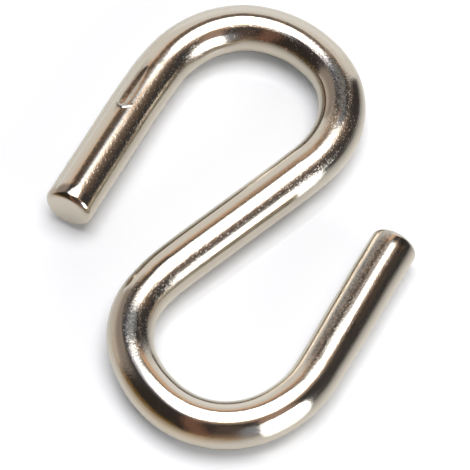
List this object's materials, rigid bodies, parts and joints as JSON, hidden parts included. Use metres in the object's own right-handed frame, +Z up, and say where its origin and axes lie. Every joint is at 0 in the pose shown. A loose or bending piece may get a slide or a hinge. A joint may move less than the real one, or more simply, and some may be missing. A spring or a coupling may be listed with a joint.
{
  "type": "s hook",
  "caption": "Round wire bent flat into an S: two open hooks facing opposite ways, for hanging one thing from another.",
  "frame": {"origin": "on the surface that the hook lies on, under the middle of its outline", "axes": "+Y along the line of pull, from the lower bend to the upper one; +Z up, square to the plane that the wire is bent in; +X towards the lower hook's cut end"},
  "size_m": [0.0306, 0.042, 0.0044],
  "materials": {
    "plated_wire": "bright nickel plating on steel wire, lightly scuffed, with cut ends and one tool mark"
  },
  "bodies": {
    "root": {"s_hook": "plated_wire"}
  },
  "joints": []
}
